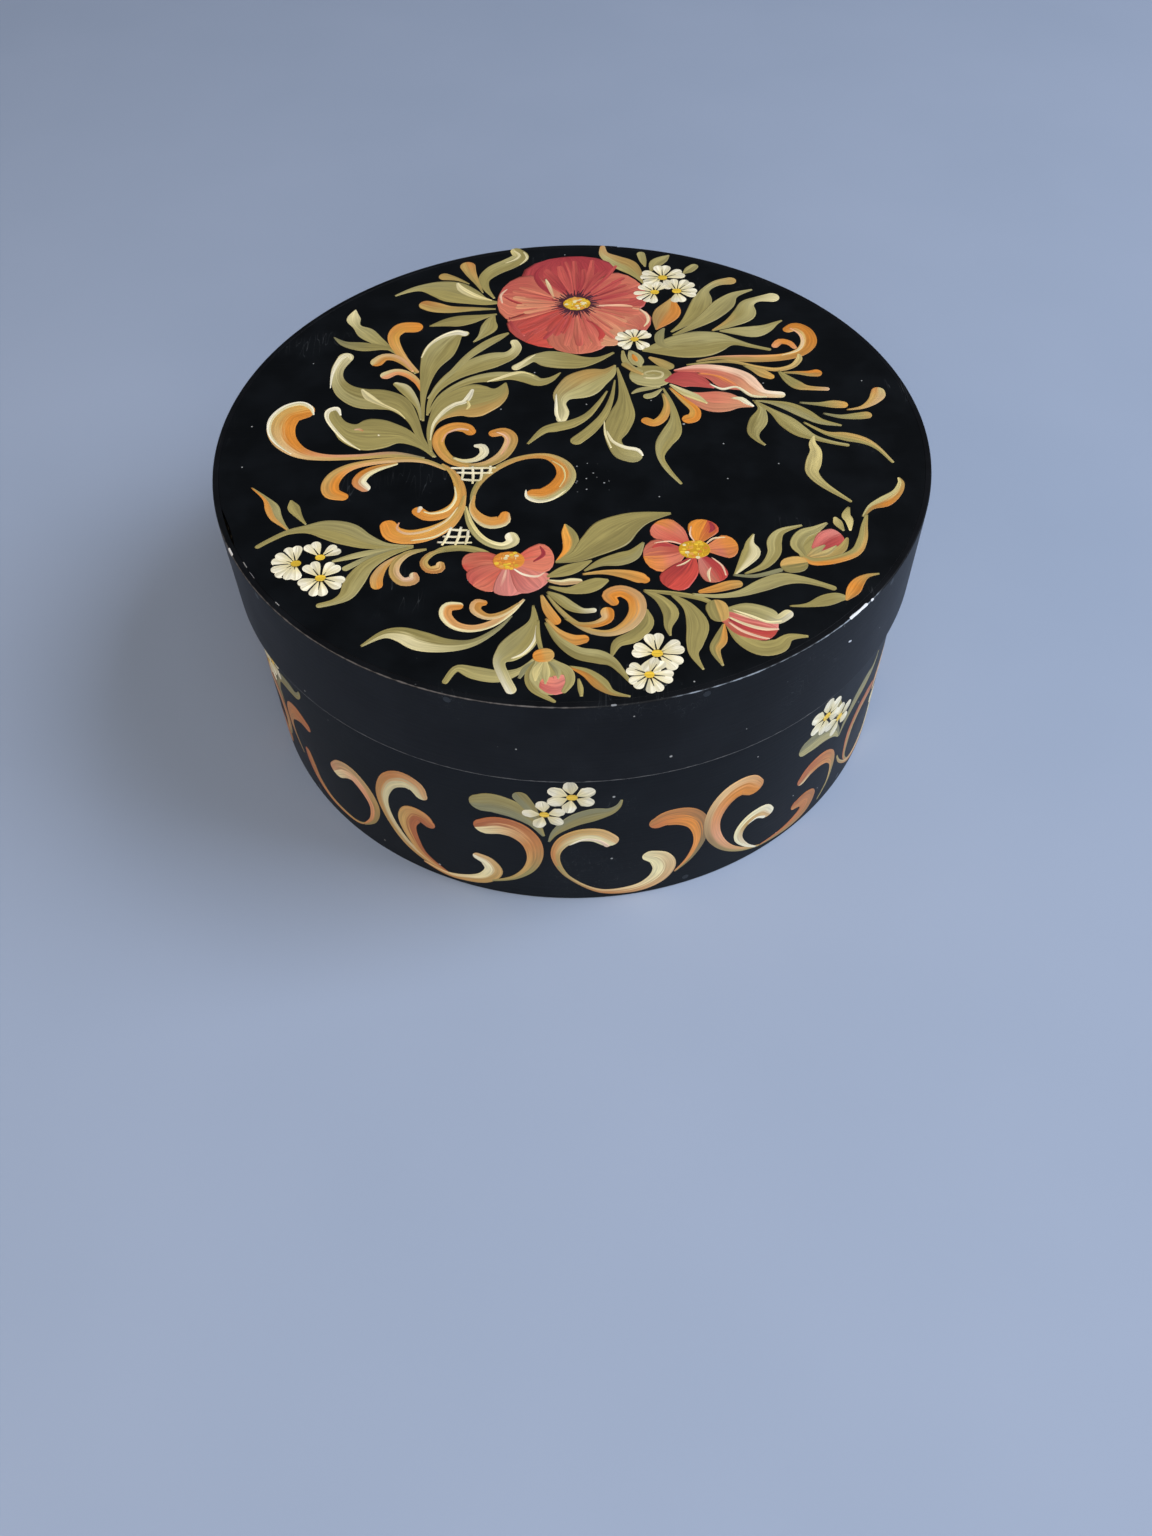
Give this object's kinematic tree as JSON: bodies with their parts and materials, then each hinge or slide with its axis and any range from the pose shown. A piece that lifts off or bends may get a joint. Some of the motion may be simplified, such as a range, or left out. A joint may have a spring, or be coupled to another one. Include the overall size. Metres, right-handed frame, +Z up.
{
  "type": "round bentwood box with lid",
  "caption": "Round bentwood box with a slip-over lid, painted black, its top covered in painted flowers, leaves and scrolls and its wall in a border of scrolls.",
  "frame": {"origin": "centre of the footprint, on the surface that the box stands on", "axes": "+Z up along the box's axis, -Y the front, +Y the back, where both bands lap and are laced"},
  "size_m": [0.23, 0.2307, 0.101],
  "materials": {
    "black_painted_wood": "satin oil paint over bent and sawn softwood, bare inside",
    "peg_wood": "whittled hardwood, the heads painted over",
    "root": "split root, painted over outside and bare inside",
    "ornament_paint": "oil colours brushed over the black ground, slightly raised"
  },
  "bodies": {
    "box": {"box_wall": "black_painted_wood", "floor_board": "black_painted_wood", "floor_pegs": "peg_wood", "wall_lacing": "root"},
    "lid": {"lid_band": "black_painted_wood", "lid_board": "black_painted_wood", "lid_pegs": "peg_wood", "lid_lacing": "root"}
  },
  "joints": [
    {"name": "lid_lift", "type": "slide", "parent": "box", "child": "lid", "axis": [0, 0, 1], "range_m": [0, 0.08]}
  ]
}
